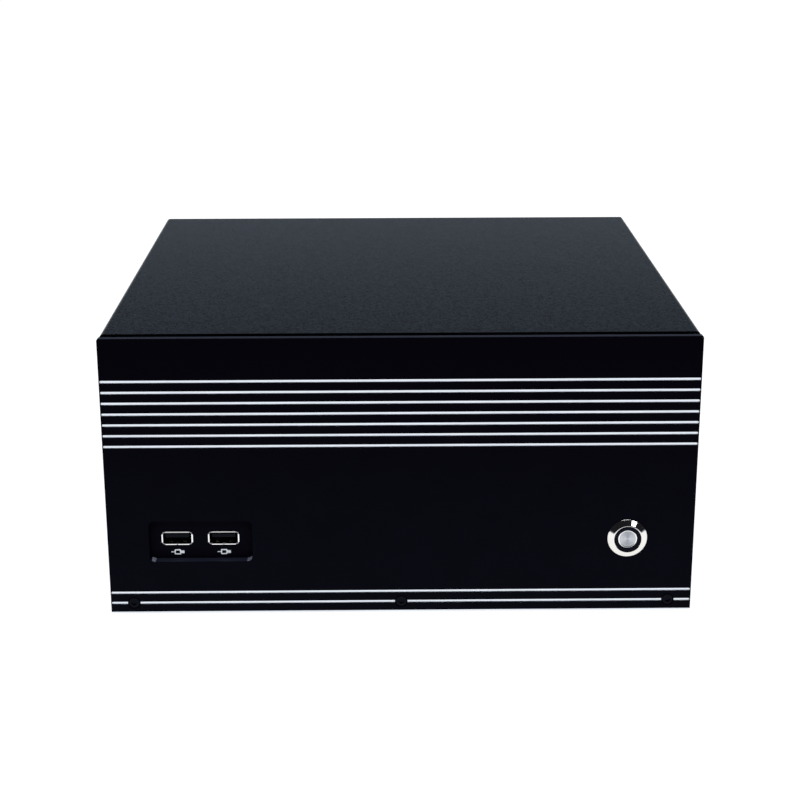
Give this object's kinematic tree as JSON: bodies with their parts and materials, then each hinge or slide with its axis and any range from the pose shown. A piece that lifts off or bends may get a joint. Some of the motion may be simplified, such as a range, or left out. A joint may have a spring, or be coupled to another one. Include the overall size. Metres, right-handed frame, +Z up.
{
  "type": "mini pc",
  "caption": "Black desktop mini PC with a grooved aluminium front panel, front sockets, a ringed power button, a slide-off steel cover and a full computer inside.",
  "frame": {"origin": "on the floor under the middle of the case's bounding box, level with the undersides of the feet", "axes": "+X to the right seen from the front, +Y from the front panel to the back, +Z up"},
  "size_m": [0.264, 0.2641, 0.135],
  "materials": {
    "panel_aluminium": "fine-blasted, black anodised",
    "screw_black": "black zinc",
    "mark_white": "printed white",
    "cover_steel": "black fine-texture powder coat",
    "chassis_steel": "black powder coat",
    "foot_rubber": "matt",
    "zinc_steel": "bright zinc",
    "button_steel": "polished bevel and turned cap",
    "ring_plastic": "dark diffuser",
    "spring_steel": "bright",
    "black_plastic": "fine texture",
    "rotor_plastic": "satin",
    "latch_plastic": "natural",
    "socket_shell": "nickel plate",
    "contact_gold": "gold flash",
    "board_green": "solder mask",
    "board_black": "dark solder mask",
    "standoff_brass": "plain",
    "processor_lid": "nickel",
    "sink_aluminium": "mill finish",
    "sink_black": "black anodised",
    "choke_ferrite": "pressed powder",
    "capacitor_can": "plain can",
    "battery_steel": "plain",
    "psu_steel": "galvanised",
    "lead_black": "soft sleeve",
    "lead_red": "soft sleeve"
  },
  "bodies": {
    "chassis": {"front_panel": "panel_aluminium", "front_panel_screws": "screw_black", "port_marks": "mark_white", "chassis_tray": "chassis_steel", "rubber_feet": "foot_rubber", "foot_screws": "zinc_steel", "slot_covers": "chassis_steel", "rear_wall_screws": "zinc_steel", "io_shield": "zinc_steel", "power_button_bezel": "button_steel", "power_button_ring": "ring_plastic", "power_button_spring": "spring_steel", "power_button_nut": "zinc_steel", "power_button_base": "black_plastic", "power_button_lead": "lead_red", "front_usb_shells": "socket_shell", "front_usb_tongues": "black_plastic", "front_usb_contacts": "contact_gold", "front_usb_board": "board_green", "usb_board_bracket": "zinc_steel", "front_usb_lead": "lead_black", "mainboard": "board_black", "board_standoffs": "standoff_brass", "board_and_drive_screws": "zinc_steel", "processor": "processor_lid", "heatsink": "sink_aluminium", "cpu_fan_frame": "black_plastic", "memory_sockets": "black_plastic", "memory_modules": "board_green", "card_socket": "black_plastic", "power_sockets": "black_plastic", "data_sockets": "black_plastic", "chokes": "choke_ferrite", "capacitors": "capacitor_can", "board_heatsinks": "sink_black", "clock_battery": "battery_steel", "rear_usb_ports": "socket_shell", "network_port": "socket_shell", "video_ports": "socket_shell", "audio_jacks": "black_plastic", "psu_case": "psu_steel", "psu_fan_frame": "black_plastic", "mains_inlet": "black_plastic", "mains_pins": "contact_gold", "psu_leads": "lead_black", "drive_bracket": "zinc_steel", "solid_state_drive": "black_plastic", "drive_lead": "lead_red", "rear_fan_frame": "black_plastic", "rear_fan_guard": "zinc_steel", "rear_fan_screws": "zinc_steel"},
    "top_cover": {"top_cover": "cover_steel", "cover_screws": "screw_black"},
    "power_button": {"power_button_cap": "button_steel"},
    "cpu_fan": {"cpu_fan_rotor": "rotor_plastic"},
    "psu_fan": {"psu_fan_rotor": "rotor_plastic"},
    "rear_fan": {"rear_fan_rotor": "rotor_plastic"},
    "mains_rocker": {"mains_rocker": "rotor_plastic"},
    "memory_latch_left": {"memory_latch_left": "latch_plastic"},
    "memory_latch_right": {"memory_latch_right": "latch_plastic"}
  },
  "joints": [
    {"name": "cover_slide", "type": "slide", "parent": "chassis", "child": "top_cover", "axis": [0, 1, 0], "range_m": [0, 0.255]},
    {"name": "power_press", "type": "slide", "parent": "chassis", "child": "power_button", "axis": [0, 1, 0], "range_m": [0, 0.0012], "stiffness_N_per_m": 1500, "springref_m": -0.001},
    {"name": "cpu_fan_spin", "type": "hinge", "parent": "chassis", "child": "cpu_fan", "pos_m": [0.04, 0.0414, 0.0524], "axis": [0, 0, 1], "continuous": true},
    {"name": "psu_fan_spin", "type": "hinge", "parent": "chassis", "child": "psu_fan", "pos_m": [-0.102, 0.1277, 0.0692], "axis": [0, 1, 0], "continuous": true},
    {"name": "rear_fan_spin", "type": "hinge", "parent": "chassis", "child": "rear_fan", "pos_m": [0.081, 0.1277, 0.0946], "axis": [0, 1, 0], "continuous": true},
    {"name": "mains_switch", "type": "hinge", "parent": "chassis", "child": "mains_rocker", "pos_m": [-0.102, 0.1265, 0.0392], "axis": [0, 0, 1], "range_deg": [-18, 0]},
    {"name": "left_latch_swing", "type": "hinge", "parent": "chassis", "child": "memory_latch_left", "pos_m": [0.0955, -0.0388, 0.02], "axis": [1, 0, 0], "range_deg": [0, 40]},
    {"name": "right_latch_swing", "type": "hinge", "parent": "chassis", "child": "memory_latch_right", "pos_m": [0.106, -0.0388, 0.02], "axis": [1, 0, 0], "range_deg": [0, 40]}
  ]
}
